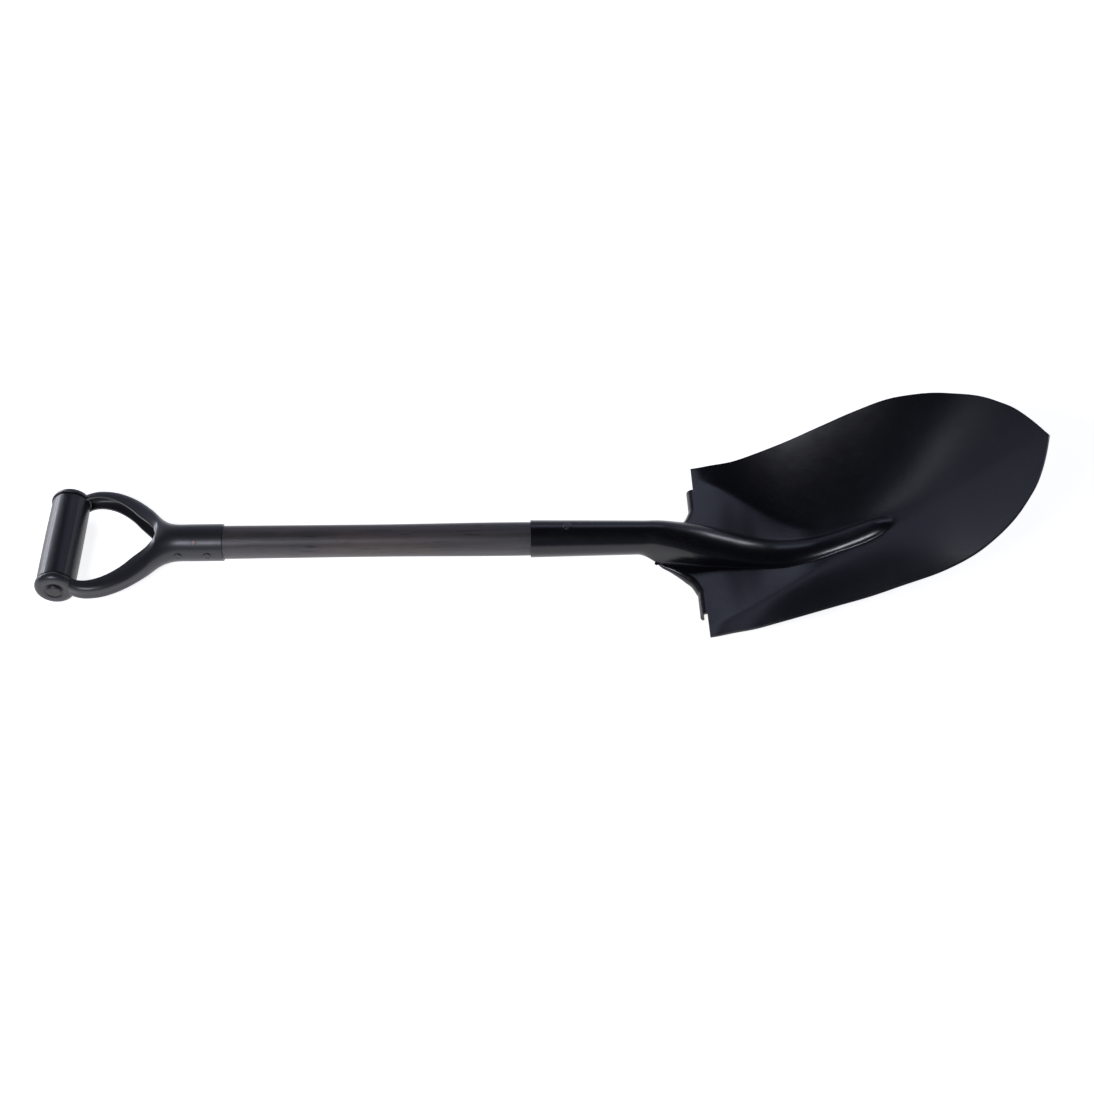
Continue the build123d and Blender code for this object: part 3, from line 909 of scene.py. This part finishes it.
class ShovelSizes(bpy.types.PropertyGroup):
    """Sizes that a user would change, in millimetres."""

    blade_sheet: size("Blade sheet", "Thickness of the blade's steel, mm", 1.9, 1.0, 2.0)
    blade_edge: size("Blade edge", "Rounding of the blade's sheet edges, mm", 0.6, 0.1, 0.9)
    arm_groove: size("Arm groove", "Depth of the hollow along the arms' outer sides, mm", 0.7, 0.0, 2.0)
    grip_lines: size("Grip lines", "Depth of the lines along the grip, mm", 0.16, 0.0, 0.5)


class ShovelColours(bpy.types.PropertyGroup):
    """Colours of the finishes."""

    blade: colour("Blade paint", "Paint on the blade and socket", (0.0050, 0.0052, 0.0075))
    wood_stain: colour("Wood stain", "Grey stain on the shaft", (0.050, 0.046, 0.048))
    wood_brown: colour("Wood brown", "Brown that shows through the stain", (0.095, 0.070, 0.060))
    yoke: colour("Yoke coating", "Coating on the yoke", (0.031, 0.031, 0.036))
    pin: colour("Pin", "Small pin in the yoke's sleeve", (0.11, 0.085, 0.075))
    grip: colour("Grip", "Moulded grip", (0.0065, 0.0065, 0.0090))
    rod: colour("Rod", "Rod that the grip turns on", (0.055, 0.053, 0.055))


class ShovelStage(bpy.types.PropertyGroup):
    """Light, floor and view."""

    lens: FloatProperty(name="Lens", description="Focal length of the view", default=58.17, min=20.0,
                        max=200.0, unit="CAMERA")
    far_glow: glow("Far light", "Large soft light behind the shovel", 1.05)
    near_glow: glow("Near light", "Light at the viewer's side, over the yoke", 24.0)
    left_glow: glow("Left light", "Soft light beyond the grip", 10.0)
    strip_glow: glow("Strip light", "Narrow light beyond the ridge of the blade", 18.0)
    spot_glow: glow("Spot light", "Small soft light that the rising front of the blade mirrors", 1.3)
    wall_glow: glow("Walls", "Brightness of the room low down", 0.42)
    ceiling_glow: glow("Ceiling", "Brightness of the room overhead", 0.02)
    floor_glow: FloatProperty(name="Floor glow", description="How much the floor lights itself",
                              default=0.85, min=0.0, max=2.0)


class ShovelBlade(bpy.types.Operator):
    """Build the blade's pressed sheet and finish its rivet"""

    bl_idname = "shovel.build_blade"
    bl_label = "Build Blade"

    def execute(self, context):
        sizes, colours = context.scene.shovel_sizes, context.scene.shovel_colours
        paint = finish_named("black_paint", paint_finish, colours)
        blade = build_blade(sizes.blade_sheet, sizes.blade_edge)
        dress(blade, paint)
        dress(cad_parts["socket_rivet"], paint)
        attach(blade, "handle")
        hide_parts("blade")
        return {"FINISHED"}


class ShovelShaft(bpy.types.Operator):
    """Build the wooden shaft"""

    bl_idname = "shovel.build_shaft"
    bl_label = "Build Shaft"

    def execute(self, context):
        shaft = build_shaft()
        dress(shaft, finish_named("stained_wood", wood_finish, context.scene.shovel_colours))
        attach(shaft, "handle")
        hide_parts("shaft")
        return {"FINISHED"}


class ShovelYoke(bpy.types.Operator):
    """Build the yoke, its two cups and the finish of its rivets and pin"""

    bl_idname = "shovel.build_yoke"
    bl_label = "Build Yoke"

    def execute(self, context):
        colours = context.scene.shovel_colours
        coat = finish_named("gunmetal_coat", steel_finish, "gunmetal_coat", colours.yoke, 0.2, 0.30,
                            0.42)
        pin = finish_named("brown_pin", steel_finish, "brown_pin", colours.pin, 0.6, 0.35, 0.5)
        yoke = build_yoke(context.scene.shovel_sizes.arm_groove)
        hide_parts("yoke")
        for piece in [yoke] + build_cups():
            dress(piece, coat)
            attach(piece, "handle")
        dress(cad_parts["yoke_rivets"], coat)
        dress(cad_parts["yoke_pin"], pin)
        return {"FINISHED"}


class ShovelGrip(bpy.types.Operator):
    """Build the grip and finish its rod"""

    bl_idname = "shovel.build_grip"
    bl_label = "Build Grip"

    def execute(self, context):
        colours = context.scene.shovel_colours
        grip = build_grip(context.scene.shovel_sizes.grip_lines)
        dress(grip, finish_named("black_moulding", grip_finish, colours))
        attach(grip, "grip")
        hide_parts("grip_tube")
        rod = finish_named("rod_steel_dull", steel_finish, "rod_steel_dull", colours.rod, 0.7, 0.34,
                           0.5)
        dress(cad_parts["grip_rod"], rod)
        return {"FINISHED"}


class ShovelSetting(bpy.types.Operator):
    """Set up the floor, the light and the camera"""

    bl_idname = "shovel.build_stage"
    bl_label = "Build Stage"

    def execute(self, context):
        stage = context.scene.shovel_stage
        build_room(stage.wall_glow, stage.ceiling_glow)
        context.scene.view_settings.view_transform = "Standard"
        build_floor(stage.floor_glow)
        softbox("far_light", (0.0, 0.69, 0.72), 1.9, (1.1, 0.6), stage.far_glow, BLUE, BLADE_AIM)
        softbox("strip_light", (0.57, 0.66, 0.50), 1.9, (0.36, 0.12), stage.strip_glow, COOL,
                BLADE_AIM)
        softbox("spot_light", (-0.74, 0.38, 0.56), 1.6, (0.22, 0.26), stage.spot_glow, COOL,
                BLADE_AIM)
        softbox("left_light", (-0.70, 0.68, 0.10), 0.8, (0.6, 0.24), stage.left_glow, COOL,
                GRIP_AIM)
        softbox("near_light", (-0.42, -0.62, 0.67), 2.0, (0.7, 0.28), stage.near_glow, COOL)
        place_camera(stage.lens)
        return {"FINISHED"}


OPERATORS = (ShovelBlade, ShovelShaft, ShovelYoke, ShovelGrip, ShovelSetting)


class ShovelPanel(bpy.types.Panel):
    """Sizes, colours and build buttons of the shovel"""

    bl_idname = "VIEW3D_PT_shovel"
    bl_label = "Round Point Shovel"
    bl_space_type = "VIEW_3D"
    bl_region_type = "UI"
    bl_category = "Shovel"

    def draw(self, context):
        for group in (context.scene.shovel_sizes, context.scene.shovel_colours,
                      context.scene.shovel_stage):
            box = self.layout.box()
            for name in type(group).__annotations__:
                box.prop(group, name)
        for operator in OPERATORS:
            self.layout.operator(operator.bl_idname)


GROUPS = {"shovel_sizes": ShovelSizes, "shovel_colours": ShovelColours, "shovel_stage": ShovelStage}


def register():
    """Adds the settings, operators and panel."""
    for name, group in GROUPS.items():
        bpy.utils.register_class(group)
        setattr(bpy.types.Scene, name, PointerProperty(type=group))
    for kind in OPERATORS + (ShovelPanel,):
        bpy.utils.register_class(kind)


def unregister():
    """Takes them out again."""
    for kind in reversed(OPERATORS + (ShovelPanel,)):
        bpy.utils.unregister_class(kind)
    for name, group in GROUPS.items():
        delattr(bpy.types.Scene, name)
        bpy.utils.unregister_class(group)


def main():
    """Builds everything."""
    register()
    bpy.ops.shovel.build_blade()
    bpy.ops.shovel.build_shaft()
    bpy.ops.shovel.build_yoke()
    bpy.ops.shovel.build_grip()
    bpy.ops.shovel.build_stage()


if __name__ == "__main__":
    main()
